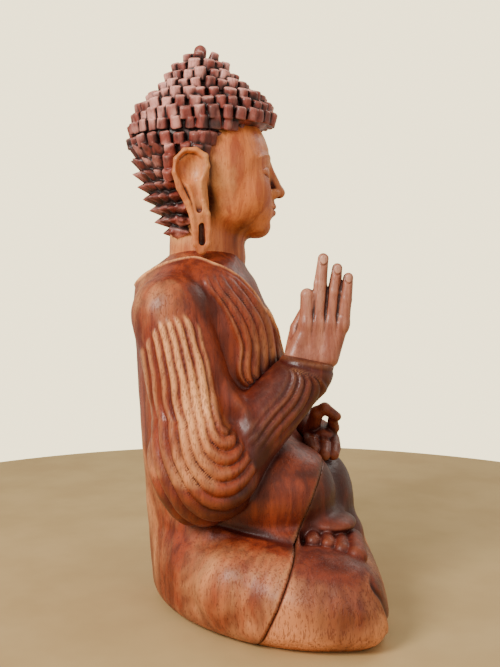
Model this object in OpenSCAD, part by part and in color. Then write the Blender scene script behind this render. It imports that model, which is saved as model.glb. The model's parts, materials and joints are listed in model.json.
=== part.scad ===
// Seated teaching figure carved in hardwood: a trunk block, a lap block glued to its front,
// two tenoned hands, a crown knob and the pegs that hold the blocks together.
// Millimetres, +Z up, the figure faces -Y and its left side is +X. The origin is on the floor,
// in the middle of the base.

/* [Seat] */
// Half the width across the knees
knee_half_w = 188; // [180:1:196]
// How far the shins reach forward of the middle
lap_front = 135; // [130:1:140]
// How far the seat reaches back at its fullest
seat_back = 114; // [108:1:118]
// Height at which the knees are widest
knee_z = 34; // [30:1:40]

/* [Trunk] */
// Half the width of the chest under the robe
chest_half_w = 96; // [92:1:100]
// How far the upper back reaches behind the middle
upper_back = 130; // [126:1:132]
// Height of the shoulders
shoulder_z = 314; // [308:1:318]
// Radius of the neck
neck_r = 40; // [38:1:42]

/* [Head] */
// Top of the crown knob, which is the height of the whole figure
figure_h = 600; // [596:1:604]
// How far back of the middle the head's centre lies
head_back = 54; // [50:1:58]
// Height of the cranium's centre
cranium_z = 477; // [474:1:480]
// Radius of the cranium
cranium_r = 66; // [62:1:68]

/* [Joints] */
// Lean of the glued face between trunk and lap, from upright
seam_lean = 23.3; // [20:0.1:26]
// How far forward of the middle that face meets the floor
seam_front = 4; // [2:1:8]
// Radius of the pegs across the glued face
peg_r = 8; // [6:0.5:9]
// Length of those pegs
peg_l = 60; // [50:1:64]
// Radius of the tenon on each hand
tenon_r = 9; // [8:0.5:10]
// Depth of each tenon
tenon_l = 26; // [20:1:30]
// Radial room around a peg or tenon for glue
glue_gap = 0.1; // [0.05:0.05:0.3]

/* [Crown knob] */
// Radius of the knob
knob_r = 7; // [5:0.5:8]
// Radius of the peg under it
knob_peg_r = 4; // [3:0.5:4.5]
// Depth of that peg
knob_peg_l = 16; // [12:1:22]
// How far the knob stands above the hair
knob_rise = 13; // [10:1:16]

/* [Hidden] */
// Points around a body section, and facets around limbs, fingers and bores
ring_n = 44;
ball_fn = 26;
finger_fn = 12;
bore_fn = 40;
// Larger than the whole figure
big = 700;
// Glue line between a hand and its sleeve
glue_line = 0.4;
// How far a tenon runs on inside the hand
tenon_grip = 14;
// Clear space that a hand needs beyond its sleeve: its radius, and its reach on each side
cuff_room_r = 30;
right_hand_reach = 60;
left_hand_reach = 30;
// Further than any part of a hand reaches back past its glued face
hand_trim = 60;
// The crown knob's axis, its seat, and the rounding of its top
knob_y = 56;
knob_seat_z = figure_h - knob_rise;
knob_round = 5;
// Spare depth under each kind of peg
bore_spare = 1;

trunk_color = "peru";
lap_color = "sienna";
hand_color = "burlywood";
knob_color = "dimgray";
peg_color = "wheat";

// Body sections, bottom to top:
// [z, half width, front y, back y, y of the widest place, front squareness, back squareness]
body_rows = [
    [0, knee_half_w - 18, -lap_front + 5, seat_back - 16, -66, 5, 1.8],
    [8, knee_half_w - 7, -lap_front + 1, seat_back - 9, -66, 5, 1.8],
    [knee_z, knee_half_w, -lap_front, seat_back - 3, -66, 4.6, 1.8],
    [56, knee_half_w - 6, -lap_front + 8, seat_back - 1, -64, 4, 1.8],
    [74, knee_half_w - 28, -lap_front + 24, seat_back, -56, 3.2, 1.8],
    [86, knee_half_w - 58, -lap_front + 34, seat_back + 1, -46, 2.8, 1.9],
    [97, 112, -lap_front + 40, seat_back + 2, -24, 2.5, 2],
    [130, 106, -88, seat_back + 3, 0, 2.4, 2.1],
    [155, 100, -72, seat_back + 5, 20, 2.3, 2.2],
    [172, 97, -54, seat_back + 6, 34, 2.2, 2.3],
    [190, 94, -42, seat_back + 7, 42, 2.2, 2.3],
    [230, chest_half_w - 3, -36, upper_back - 7, 46, 2.2, 2.3],
    [270, chest_half_w - 2, -32, upper_back - 5, 48, 2.2, 2.3],
    [305, chest_half_w, -24, upper_back - 3, 52, 2.2, 2.3],
    [330, chest_half_w - 3, -13, upper_back - 3, 56, 2.2, 2.2],
    [348, chest_half_w - 9, -5, upper_back - 7, 56, 2.1, 2.1],
    [360, 77, 3, upper_back - 16, 56, 2, 2],
    [368, 66, 7, upper_back - 28, 54, 2, 2],
    [375, 53, 9, upper_back - 37, 51, 2, 2],
    [381, 43, 10, upper_back - 41, 50, 2, 2]
];

// Hair sections from the nape to the crown, in the same form
hair_rows = [
    [394, 38, 62, 92, 76, 2, 2],
    [410, 50, 52, 101, 74, 2, 2],
    [430, 60, 44, 112, 70, 2, 2],
    [452, 66, 36, 123, 62, 2, 2.1],
    [484, 70, 28, 133, 58, 2, 2.1],
    [512, 69, -12, 131, 56, 2.1, 2],
    [518, 68, -25, 129, 54, 2.1, 2],
    [528, 64, -24, 128, 53, 2, 2],
    [538, 57, -18, 118, 52, 2, 2],
    [546, 51, -7, 105, 52, 2, 2],
    [555, 45, 8, 98, 53, 2, 2],
    [564, 38, 18, 92, 54, 2, 2],
    [575, 29, 27, 84, 55, 2, 2],
    [knob_seat_z, 15, 41, 70, 56, 2, 2]
];

// Centres of the right arm and hand; the left arm mirrors the right one down to the elbow
shoulder = [-86, 80, shoulder_z];
elbow = [-110, 40, 156];
right_wrist = [-64, -56, 254];
right_palm = [-64, -64, 292];
left_wrist = [46, -58, 176];
left_palm = [16, -76, 178];
// Height of the space where the foot comes out, and the tip of each toe as [x, y, z, radius]
ledge_z = 85;
toes = [[-108, -61.5, 86, 8], [-112, -76, 84, 7.5], [-117, -89, 80, 8], [-122, -103, 76, 11]];
shoulder_r = 39;
elbow_r = 40;
forearm_r = 37;
right_cuff_r = 27;
left_cuff_r = 22;

// A ring point of a superellipse whose front and back halves differ
function side(v) = v < 0 ? -1 : 1;
function power(v, p) = side(v) * pow(abs(v), 2 / p);
function ring(row) = [
    for (i = [0 : ring_n - 1])
        let (
            a = 360 * i / ring_n,
            front = sin(a) < 0,
            squareness = front ? row[5] : row[6],
            reach = front ? row[4] - row[2] : row[3] - row[4]
        )
        [row[1] * power(cos(a), squareness), row[4] + reach * power(sin(a), squareness), row[0]]
];

// A closed skin over a stack of rings
module loft(rows) {
    count = len(rows);
    polyhedron(
        points = [for (row = rows) each ring(row)],
        faces = concat(
            [[for (i = [0 : ring_n - 1]) i]],
            [
                for (k = [0 : count - 2], i = [0 : ring_n - 1])
                    let (j = (i + 1) % ring_n, a = k * ring_n, b = a + ring_n)
                    each [[b + i, a + j, a + i], [b + i, b + j, a + j]]
            ],
            [[for (i = [ring_n - 1 : -1 : 0]) (count - 1) * ring_n + i]]
        )
    );
}

module limb(a, ra, b, rb) {
    hull() {
        translate(a) sphere(ra, $fn = ball_fn);
        translate(b) sphere(rb, $fn = ball_fn);
    }
}

// A ball given as [x, y, z, radius]
module ball(point) {
    translate([point[0], point[1], point[2]]) sphere(point[3], $fn = finger_fn);
}

// A finger, bone by bone
module chain(points) {
    for (i = [0 : len(points) - 2])
        hull() {
            ball(points[i]);
            ball(points[i + 1]);
        }
}

// The blade of a hand, around all its points
module blade(points) {
    hull() for (point = points) ball(point);
}

// Puts +Z of its children along the line from a to b, starting at a
module along(a, b) {
    d = b - a;
    translate(a)
        rotate([0, acos(d[2] / norm(d)), atan2(d[1], d[0])])
            children();
}

// Carries its children to the glued face: their +Z points forward out of the trunk block
module on_seam(x, up) {
    translate([x, -seam_front, 0])
        rotate([90 + seam_lean, 0, 0])
            translate([0, up, 0])
                children();
}

module front_half() {
    on_seam(0, 0) translate([-big, -big, 0]) cube([2 * big, 2 * big, big]);
}

module at_pegs() {
    for (x = [-1, 1]) {
        on_seam(x * 112, 44) children();
        on_seam(x * 46, 108) children();
    }
}

module peg_bores() {
    at_pegs()
        cylinder(r = peg_r + glue_gap, h = peg_l + 2 * bore_spare, center = true, $fn = bore_fn);
}

module upper_arm(s) {
    top = [s * shoulder[0], shoulder[1], shoulder[2]];
    limb(top, shoulder_r, [s * elbow[0], elbow[1], elbow[2]], elbow_r);
}

// A ball with a radius of its own along each axis
module egg(centre, radii) {
    translate(centre) scale(radii) sphere(1, $fn = 32);
}

// The sleeve's cloth, which hangs round the elbow, and the robe over the shoulder
module sleeve_cloth(s) {
    egg([s * 96, 48, 176], [52, 54, 73]);
    limb([s * 42, 66, 336], 32, [-s * shoulder[0], shoulder[1], shoulder[2]], shoulder_r - 2);
}

// One crossed leg, and the robe heaped over it
module leg(s) {
    limb([s * 120, 12, 46], 44, [s * 142, -84, 42], 42);
    egg([s * 54, -20, 122], [60, 68, 55]);
}

// The space over a leg, beside the lap, where the foot comes out
module foot_ledge(s) {
    mirror([s < 0 ? 1 : 0, 0, 0])
        translate([0, 0, ledge_z])
            linear_extrude(height = 60)
                polygon([[102, -48], [200, -48], [200, -160], [58, -160]]);
}

// The right foot, sole up, with its toes over the near leg
module foot() {
    egg([-78, -82, 102], [24, 22, 13]);
    for (toe = toes)
        hull() {
            ball([-84, toe[1], toe[2] + 3, toe[3]]);
            ball(toe);
        }
}

module forearms() {
    limb(elbow, forearm_r, right_wrist, right_cuff_r);
    limb([-elbow[0], elbow[1], elbow[2]], forearm_r, left_wrist, left_cuff_r);
}

module head() {
    hull() {
        translate([0, head_back, cranium_z]) sphere(cranium_r, $fn = 34);
        translate([0, 24, 486]) sphere(42, $fn = ball_fn);
        translate([0, 20, 424]) sphere(36, $fn = ball_fn);
        translate([0, 2, 403]) sphere(17, $fn = ball_fn);
        translate([0, 58, 424]) sphere(42, $fn = ball_fn);
    }
    nose();
}

module nose() {
    hull() {
        translate([0, -15, 470]) sphere(6, $fn = 16);
        translate([0, -24, 438]) sphere(7, $fn = 16);
        translate([0, -14, 436]) sphere(11, $fn = 16);
    }
}

module neck() {
    limb([0, 49, 366], neck_r + 2, [0, 51, 430], neck_r - 2);
}

module ear(s) {
    difference() {
        hull() {
            translate([s * 66, 66, 462]) rotate([0, 90, 0]) cylinder(r = 18, h = 9, center = true, $fn = 24);
            translate([s * 60, 50, 388]) rotate([0, 90, 0]) cylinder(r = 10, h = 8, center = true, $fn = 20);
        }
        hull() for (z = [390, 408])
            translate([s * 61, 50, z]) rotate([0, 90, 0]) cylinder(r = 3.5, h = 20, center = true, $fn = 12);
    }
}

// Body, crossed legs and foot, on both sides of the glued face
module robed_body() {
    difference() {
        loft(body_rows);
        for (s = [-1, 1]) foot_ledge(s);
    }
    for (s = [-1, 1]) leg(s);
    foot();
}

module carved_mass() {
    robed_body();
    for (s = [-1, 1]) {
        upper_arm(s);
        sleeve_cloth(s);
    }
    forearms();
    neck();
    head();
    for (s = [-1, 1]) ear(s);
    loft(hair_rows);
}

module tenon(wrist, toward, extra) {
    along(wrist, toward)
        translate([0, 0, -tenon_l])
            cylinder(r = tenon_r + extra, h = tenon_l + extra, $fn = bore_fn);
}

// Room for a hand: its tenon, and all just beyond the face where the sleeve ends
module hand_room(wrist, toward, reach) {
    tenon(wrist, toward, glue_gap);
    along(wrist, toward) cylinder(r = cuff_room_r, h = reach, $fn = bore_fn);
}

// Raised, palm inward, with the forefinger bent to meet the thumb
module right_hand_shape() {
    blade([[-64, -44, 266, 10], [-64, -80, 266, 10], [-64, -56, 306, 7.5], [-63, -92, 304, 7]]);
    chain([[-63, -93, 302, 7], [-63, -99, 351, 5]]);
    chain([[-64, -56, 306, 7.5], [-62, -56, 334, 6], [-48, -58, 332, 5.5], [-44, -60, 316, 5]]);
    chain([[-64, -67, 306, 8], [-63, -73, 370, 5.5]]);
    chain([[-64, -80, 306, 7.5], [-63, -88, 360, 5.2]]);
    chain([[-54, -46, 276, 9], [-45, -50, 300, 6.5], [-43, -58, 318, 5.5]]);
}

// Lying in the lap, palm up, with its forefinger and thumb raised in a ring
module left_hand_shape() {
    chain([[36, -64, 177, 14], [14, -78, 178, 15], [-4, -84, 178, 10]]);
    chain([[0, -66, 174, 9], [-26, -65, 171, 8], [-44, -65, 161, 6.5]]);
    chain([[0, -78, 172, 9], [-28, -78, 168, 7.5], [-47, -77, 156, 6.5]]);
    chain([[0, -89, 170, 8.5], [-26, -89, 166, 7.5], [-42, -88, 155, 6]]);
    chain([[-2, -72, 182, 7.5], [-16, -80, 202, 6], [-14, -92, 196, 5]]);
    chain([[20, -84, 184, 9], [2, -94, 192, 6.5], [-10, -94, 194, 5]]);
}

module trunk_block() {
    color(trunk_color)
        difference() {
            carved_mass();
            front_half();
            hand_room(right_wrist, right_palm, right_hand_reach);
            left_hand_space();
            peg_bores();
            crown_bore();
        }
}

module lap_block() {
    color(lap_color)
        difference() {
            intersection() {
                robed_body();
                front_half();
            }
            left_hand_space();
            peg_bores();
        }
}

// The dip in the lap where the left hand lies, and the end of its sleeve
module left_hand_space() {
    hand_room(left_wrist, left_palm, left_hand_reach);
    hull() for (x = [-56, 26]) translate([x, -84, 178 + x / 7]) sphere(25, $fn = ball_fn);
}

module right_hand() {
    color(hand_color) {
        difference() {
            right_hand_shape();
            along(right_wrist, right_palm)
                translate([0, 0, glue_line - hand_trim])
                    cylinder(r = hand_trim, h = hand_trim, $fn = bore_fn);
        }
        tenon(right_wrist, right_palm, 0);
        along(right_wrist, right_palm) cylinder(r = tenon_r, h = tenon_grip, $fn = bore_fn);
    }
}

module left_hand() {
    color(hand_color) {
        difference() {
            left_hand_shape();
            along(left_wrist, left_palm)
                translate([0, 0, glue_line - hand_trim])
                    cylinder(r = hand_trim, h = hand_trim, $fn = bore_fn);
        }
        tenon(left_wrist, left_palm, 0);
        along(left_wrist, left_palm) cylinder(r = tenon_r, h = tenon_grip, $fn = bore_fn);
    }
}

module crown_bore() {
    translate([0, knob_y, knob_seat_z - knob_peg_l - bore_spare])
        cylinder(r = knob_peg_r + glue_gap, h = 2 * knob_peg_l, $fn = bore_fn);
}

module crown_knob() {
    color(knob_color)
        translate([0, knob_y, 0])
            rotate_extrude($fn = bore_fn)
                polygon([
                    [0, knob_seat_z - knob_peg_l],
                    [knob_peg_r, knob_seat_z - knob_peg_l],
                    [knob_peg_r, knob_seat_z],
                    [knob_r, knob_seat_z],
                    for (a = [0 : 15 : 90])
                        [
                            knob_r - knob_round * (1 - cos(a)),
                            figure_h - knob_round * (1 - sin(a))
                        ],
                    [0, figure_h]
                ]);
}

module seam_pegs() {
    color(peg_color)
        at_pegs()
            cylinder(r = peg_r, h = peg_l, center = true, $fn = bore_fn);
}

trunk_block();
lap_block();
right_hand();
left_hand();
crown_knob();
seam_pegs();
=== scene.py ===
"""Seated teaching figure carved in hardwood: the shapes and the finish that are seen, built around
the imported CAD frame. Each block is modelled as clay, a grid of distances to its surface, then
meshed, given its carved relief, and marked with where it is hollow, worn, pale or dark.
Shapes are drawn in units of which the figure is 600 high: +X is its left, -Y its front."""
import json
import math
from collections import namedtuple

import bpy
import numpy as np
import openvdb
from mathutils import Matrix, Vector

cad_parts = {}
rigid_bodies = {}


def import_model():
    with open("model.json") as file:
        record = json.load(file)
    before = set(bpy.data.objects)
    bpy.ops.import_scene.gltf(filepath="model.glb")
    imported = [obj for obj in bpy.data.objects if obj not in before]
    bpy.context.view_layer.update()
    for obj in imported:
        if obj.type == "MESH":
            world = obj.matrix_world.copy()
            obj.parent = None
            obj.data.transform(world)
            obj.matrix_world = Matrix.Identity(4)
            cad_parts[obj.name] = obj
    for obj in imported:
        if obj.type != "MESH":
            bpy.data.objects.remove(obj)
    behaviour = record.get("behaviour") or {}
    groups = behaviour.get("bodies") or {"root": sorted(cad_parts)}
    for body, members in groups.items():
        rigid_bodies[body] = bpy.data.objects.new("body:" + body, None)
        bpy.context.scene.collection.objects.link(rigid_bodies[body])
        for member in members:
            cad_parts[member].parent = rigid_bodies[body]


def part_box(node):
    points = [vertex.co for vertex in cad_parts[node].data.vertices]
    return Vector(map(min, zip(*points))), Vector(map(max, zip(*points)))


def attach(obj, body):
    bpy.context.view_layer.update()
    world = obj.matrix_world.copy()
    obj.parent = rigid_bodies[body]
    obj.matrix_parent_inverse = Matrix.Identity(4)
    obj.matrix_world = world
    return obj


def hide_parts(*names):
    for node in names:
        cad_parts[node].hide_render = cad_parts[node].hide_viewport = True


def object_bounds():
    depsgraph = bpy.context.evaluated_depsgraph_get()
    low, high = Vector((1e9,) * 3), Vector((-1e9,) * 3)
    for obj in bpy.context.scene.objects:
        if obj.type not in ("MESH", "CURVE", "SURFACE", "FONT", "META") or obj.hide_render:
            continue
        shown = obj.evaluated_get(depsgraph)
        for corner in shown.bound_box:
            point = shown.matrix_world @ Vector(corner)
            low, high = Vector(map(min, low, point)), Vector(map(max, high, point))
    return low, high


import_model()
cad_box = [list(corner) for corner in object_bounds()]

DRAWN_HEIGHT = 600.0
UNIT = cad_box[1][2] / DRAWN_HEIGHT
FAR = 60.0

Shape = namedtuple("Shape", "low high field")


def drawn_box(node):
    """A CAD node's corners, in drawing units."""
    return [np.array(list(corner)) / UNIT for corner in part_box(node)]


CAD_LOW, CAD_HIGH = [np.array(corner) / UNIT for corner in cad_box]
KNEE = CAD_HIGH[0]
FRONT = CAD_LOW[1]
BACK = CAD_HIGH[1]
KNOB_LOW, KNOB_HIGH = drawn_box("crown_knob")

# The glued face between trunk and lap: y = SEAM_Y - SEAM_SLOPE * z
SEAM_Y = -4.0
SEAM_SLOPE = 0.43
SEAM_GAP = 0.5

# Distances forward, as in "ahead", are counted from here
MID_Y = 2


def from_seam(y, z):
    """How far a place is behind the glued face, along Y."""
    return y - SEAM_Y + SEAM_SLOPE * z


# ---------------------------------------------------------------- numbers and noise

def smoothstep(low, high, value):
    t = np.clip((value - low) / (high - low), 0, 1)
    return t * t * (3 - 2 * t)


def bell(value, width):
    return np.exp(-(value / width) ** 2)


def soft_min(a, b, blend):
    if blend <= 0:
        return np.minimum(a, b)
    overlap = np.maximum(blend - np.abs(a - b), 0) / blend
    return np.minimum(a, b) - overlap * overlap * blend / 4


def through(knots, values, at):
    """A smooth curve through the given values, held level beyond its ends."""
    knots = np.asarray(knots, float)
    values = np.asarray(values, float)
    slopes = np.gradient(values, knots)
    slopes[[0, -1]] = 0
    at = np.clip(at, knots[0], knots[-1])
    i = np.clip(np.searchsorted(knots, at) - 1, 0, len(knots) - 2)
    span = knots[i + 1] - knots[i]
    t = (at - knots[i]) / span
    a = values[i] * (2 * t ** 3 - 3 * t ** 2 + 1) + values[i + 1] * (3 * t ** 2 - 2 * t ** 3)
    return a + span * (slopes[i] * (t ** 3 - 2 * t ** 2 + t) + slopes[i + 1] * (t ** 3 - t ** 2))


def mottle(points, size, seed):
    """Smooth random values between -1 and 1 that change over about the given size."""
    side = 24
    lattice = np.random.default_rng(seed).uniform(-1, 1, (side, side, side))
    place = points / np.asarray(size, float)
    cell = np.floor(place).astype(int)
    t = place - cell
    t = t * t * (3 - 2 * t)
    total = np.zeros(len(points))
    for corner in range(8):
        step = np.array([corner & 1, corner >> 1 & 1, corner >> 2 & 1])
        weight = np.prod(np.where(step, t, 1 - t), axis=1)
        i, j, k = ((cell + step) % side).T
        total += weight * lattice[i, j, k]
    return total


# ---------------------------------------------------------------- shapes, as distances

def ball(centre, radii, turn=(0, 0, 0)):
    """An ellipsoid, turned by degrees about X, then Y, then Z."""
    c = np.array(centre, float)
    r = np.array(radii, float) * np.ones(3)
    ax, ay, az = np.radians(turn)
    rx = np.array([[1, 0, 0], [0, math.cos(ax), -math.sin(ax)], [0, math.sin(ax), math.cos(ax)]])
    ry = np.array([[math.cos(ay), 0, math.sin(ay)], [0, 1, 0], [-math.sin(ay), 0, math.cos(ay)]])
    rz = np.array([[math.cos(az), -math.sin(az), 0], [math.sin(az), math.cos(az), 0], [0, 0, 1]])
    axes = (rz @ ry @ rx).T
    plain = not any(turn)

    def field(x, y, z):
        d = (x - c[0], y - c[1], z - c[2])
        local = d if plain else [a[0] * d[0] + a[1] * d[1] + a[2] * d[2] for a in axes]
        near = np.sqrt(sum((v / s) ** 2 for v, s in zip(local, r)))
        steep = np.sqrt(sum((v / s ** 2) ** 2 for v, s in zip(local, r)))
        return near * (near - 1) / np.maximum(steep, 1e-4)

    reach = np.abs(axes.T) @ r
    return Shape(c - reach, c + reach, field)


def limb(a, ra, b, rb):
    """A round bar between two points, from one radius to another."""
    a = np.array(a, float)
    b = np.array(b, float)
    d = b - a
    length2 = max(float(d @ d), 1e-6)

    def field(x, y, z):
        u, v, w = x - a[0], y - a[1], z - a[2]
        t = np.clip((u * d[0] + v * d[1] + w * d[2]) / length2, 0, 1)
        away = np.sqrt((u - t * d[0]) ** 2 + (v - t * d[1]) ** 2 + (w - t * d[2]) ** 2)
        return away - (ra + t * (rb - ra))

    return Shape(np.minimum(a - ra, b - rb), np.maximum(a + ra, b + rb), field)


def run(points, blend=0.0):
    """A chain of bars through points given as (x, y, z, radius)."""
    bars = [limb(p[:3], p[3], q[:3], q[3]) for p, q in zip(points, points[1:])]

    def field(x, y, z):
        total = bars[0].field(x, y, z)
        for bar in bars[1:]:
            total = soft_min(total, bar.field(x, y, z), blend)
        return total

    low = np.min([bar.low for bar in bars], axis=0)
    high = np.max([bar.high for bar in bars], axis=0)
    return Shape(low, high, field)


def loft(rows):
    """A skin over level sections, each given as (height, half width, front y, back y, y of the
    widest place, front squareness, back squareness)."""
    rows = np.array(rows, float)
    heights = np.arange(rows[0, 0], rows[-1, 0] + 0.5, 0.5)
    table = [through(rows[:, 0], rows[:, k], heights) for k in range(1, 7)]

    def ring(x, y, z):
        half, front, back, mid, front_sq, back_sq = (np.interp(z, heights, column) for column in table)
        ahead = y < mid
        reach = np.where(ahead, mid - front, back - mid)
        power = np.where(ahead, front_sq, back_sq)
        u = np.abs(x) / half + 1e-4
        v = np.abs(y - mid) / reach + 1e-4
        up, vp = u ** power, v ** power
        g = (up + vp) ** (1 / power)
        slope = g / (up + vp) * np.sqrt((up / u / half) ** 2 + (vp / v / reach) ** 2)
        return g, slope

    def field(x, y, z):
        zc = np.clip(z, heights[0], heights[-1])
        g, slope = ring(x, y, zc)
        climb = (ring(x, y, np.clip(zc + 1.5, None, heights[-1]))[0] - g) / 1.5
        side = (g - 1) / np.sqrt(slope ** 2 + climb ** 2)
        return np.maximum(side, np.maximum(heights[0] - z, z - heights[-1]))

    wide = rows[:, 1].max()
    low = np.array([-wide, rows[:, 2].min(), heights[0]])
    return Shape(low, np.array([wide, rows[:, 3].max(), heights[-1]]), field)


def half_space(point, normal):
    """All on the far side of a plane from its normal."""
    n = np.array(normal, float)
    n /= np.linalg.norm(n)
    level = float(n @ np.array(point, float))
    everywhere = np.full(3, 1e4)
    return Shape(-everywhere, everywhere, lambda x, y, z: x * n[0] + y * n[1] + z * n[2] - level)


def mirrored(shape):
    """The same shape on the other side of the body."""
    low = shape.low * [-1, 1, 1]
    high = shape.high * [-1, 1, 1]
    return Shape(np.minimum(low, high), np.maximum(low, high), lambda x, y, z: shape.field(-x, y, z))


class Clay:
    """A block of distance values that shapes are added to and cut from."""

    def __init__(self, low, high, cell):
        self.cell = cell
        self.low = np.floor(np.array(low, float) / cell - 3) * cell
        counts = np.ceil((np.array(high, float) - self.low) / cell).astype(int) + 4
        self.axes = [(start + cell * np.arange(count)).astype(np.float32)
                     for start, count in zip(self.low, counts)]
        self.values = np.full(counts, FAR, np.float32)

    def window(self, shape, margin):
        spans = []
        for axis, low, high in zip(self.axes, shape.low, shape.high):
            first = np.searchsorted(axis, low - margin)
            spans.append(slice(first, np.searchsorted(axis, high + margin)))
        x, y, z = (axis[span] for axis, span in zip(self.axes, spans))
        return tuple(spans), (x[:, None, None], y[None, :, None], z[None, None, :])

    def add(self, shape, blend=0.0):
        spans, place = self.window(shape, blend + 4 * self.cell)
        self.values[spans] = soft_min(self.values[spans], shape.field(*place), blend)

    def cut(self, shape, blend=0.0):
        spans, place = self.window(shape, blend + 4 * self.cell)
        self.values[spans] = -soft_min(-self.values[spans], shape.field(*place), blend)

    def lift(self, height):
        self.low[2] += height
        self.axes[2] = self.axes[2] + height

    def sample(self, points):
        """Distances at any points, between the grid's own."""
        place = (points - self.low) / self.cell
        limit = np.array(self.values.shape) - 2
        cell = np.clip(np.floor(place).astype(int), 0, limit)
        t = np.clip(place - cell, 0, 1)
        total = np.zeros(len(points))
        for corner in range(8):
            step = np.array([corner & 1, corner >> 1 & 1, corner >> 2 & 1])
            i, j, k = (cell + step).T
            total += np.prod(np.where(step, t, 1 - t), axis=1) * self.values[i, j, k]
        return total

    def surface(self):
        grid = openvdb.FloatGrid(FAR)
        grid.copyFromArray(self.values)
        points, quads = grid.convertToQuads(0.0)
        return points.astype(float) * self.cell + self.low, quads.astype(np.int64)


# ---------------------------------------------------------------- meshes

def vertex_normals(points, quads):
    a, b, c, d = (points[quads[:, corner]] for corner in range(4))
    across = np.cross(c - a, d - b)
    total = np.zeros_like(points)
    for k in range(3):
        for corner in range(4):
            total[:, k] += np.bincount(quads[:, corner], across[:, k], len(points))
    return total / np.maximum(np.linalg.norm(total, axis=1, keepdims=True), 1e-9)


def spread(values, quads, rounds):
    """Each vertex's value, averaged with its neighbours' a number of times."""
    ends = np.concatenate([quads, np.roll(quads, 1, axis=1)]).ravel()
    others = np.concatenate([np.roll(quads, 1, axis=1), quads]).ravel()
    counts = np.bincount(ends, minlength=len(values))
    values = values.reshape(len(values), -1)
    for _ in range(rounds):
        columns = [np.bincount(ends, column[others], len(values)) / counts for column in values.T]
        values = np.stack(columns, axis=1)
    return values


def carve(name, clay, relief, node, material, smooth=1):
    """Meshes the clay, gives it its relief, and makes the piece that stands for a CAD node."""
    points, quads = clay.surface()
    for _ in range(smooth):
        points = 0.5 * points + 0.5 * spread(points, quads, 1)
    normals = vertex_normals(points, quads)
    # Painted shade: how open each place is to the space around it, so that shut-in places can be
    # darkened.
    openness = np.zeros(len(points))
    for reach in (5.0, 12.0, 24.0):
        openness += np.clip(clay.sample(points + reach * normals) / reach, 0, 1) / 3
    rise, tone = relief(points, spread(normals, quads, 2))
    points = points + normals * rise[:, None]
    normals = vertex_normals(points, quads)
    bend = ((spread(points, quads, 1) - points) * normals).sum(axis=1) / clay.cell ** 2
    fine = spread(bend, quads, 2)[:, 0]
    broad = spread(bend, quads, 10)[:, 0]
    # The hollow mark is stain in concave places together with painted shade where the surface is shut
    # in; the worn mark is paler exposed ridges.
    hollow = np.clip(3.2 * fine + 3.0 * broad, 0, 1) + 0.9 * np.clip(1 - openness, 0, 1) ** 1.5
    worn = np.clip(-1.6 * fine - 2.0 * broad, 0, 1) * np.clip(openness, 0, 1)
    marks = {"hollow": np.clip(hollow, 0, 1), "worn": worn, "tone": tone}
    mesh = bpy.data.meshes.new(name)
    mesh.vertices.add(len(points))
    mesh.vertices.foreach_set("co", (points * UNIT).astype(np.float32).ravel())
    mesh.loops.add(quads.size)
    mesh.loops.foreach_set("vertex_index", quads.astype(np.int32).ravel())
    mesh.polygons.add(len(quads))
    mesh.polygons.foreach_set("loop_start", np.arange(0, quads.size, 4, dtype=np.int32))
    mesh.polygons.foreach_set("use_smooth", np.ones(len(quads), bool))
    mesh.update(calc_edges=True)
    for mark, values in marks.items():
        mesh.attributes.new(mark, "FLOAT", "POINT").data.foreach_set("value", values.astype(np.float32))
    mesh.materials.append(material)
    piece = bpy.data.objects.new(name, mesh)
    bpy.context.scene.collection.objects.link(piece)
    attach(piece, "root")
    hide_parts(node)
    print("piece", name, len(quads), "quads")
    return piece


# ---------------------------------------------------------------- finishes

class Nodes:
    """A short way to write a material's nodes."""

    def __init__(self, name):
        self.material = bpy.data.materials.new(name)
        self.material.use_nodes = True
        self.tree = self.material.node_tree
        self.shader = self.tree.nodes["Principled BSDF"]

    def node(self, kind, inputs=(), **settings):
        made = self.tree.nodes.new(kind)
        for setting, value in settings.items():
            setattr(made, setting, value)
        for socket, value in dict(inputs).items():
            self.feed(made.inputs[socket], value)
        return made

    def feed(self, socket, value):
        if isinstance(value, bpy.types.NodeSocket):
            self.tree.links.new(value, socket)
        else:
            socket.default_value = value

    def mark(self, name):
        return self.node("ShaderNodeAttribute", attribute_name=name).outputs["Fac"]

    def noise(self, coords, stretch, scale, detail=3.0, rough=0.55, warp=0.0):
        mapping = self.node("ShaderNodeMapping", {"Vector": coords, "Scale": stretch})
        inputs = {"Vector": mapping.outputs[0], "Scale": scale, "Detail": detail,
                  "Roughness": rough, "Distortion": warp}
        return self.node("ShaderNodeTexNoise", inputs).outputs["Fac"]

    def band(self, value, low, high, start=0.0, end=1.0):
        inputs = {"Value": value, "From Min": low, "From Max": high, "To Min": start, "To Max": end}
        return self.node("ShaderNodeMapRange", inputs, interpolation_type="SMOOTHSTEP").outputs["Result"]

    def maths(self, operation, a, b):
        return self.node("ShaderNodeMath", {0: a, 1: b}, operation=operation).outputs[0]

    def mix(self, amount, a, b, blend="MIX"):
        made = self.node("ShaderNodeMix", data_type="RGBA", blend_type=blend)
        for socket, value in zip((made.inputs[0], made.inputs[6], made.inputs[7]), (amount, a, b)):
            self.feed(socket, value)
        return made.outputs[2]


def colour(red, green, blue):
    """An 8-bit colour, as the linear light that a shader takes."""
    linear = [((v / 255 + 0.055) / 1.055) ** 2.4 if v > 10 else v / 3295 for v in (red, green, blue)]
    return (*linear, 1.0)


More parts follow.
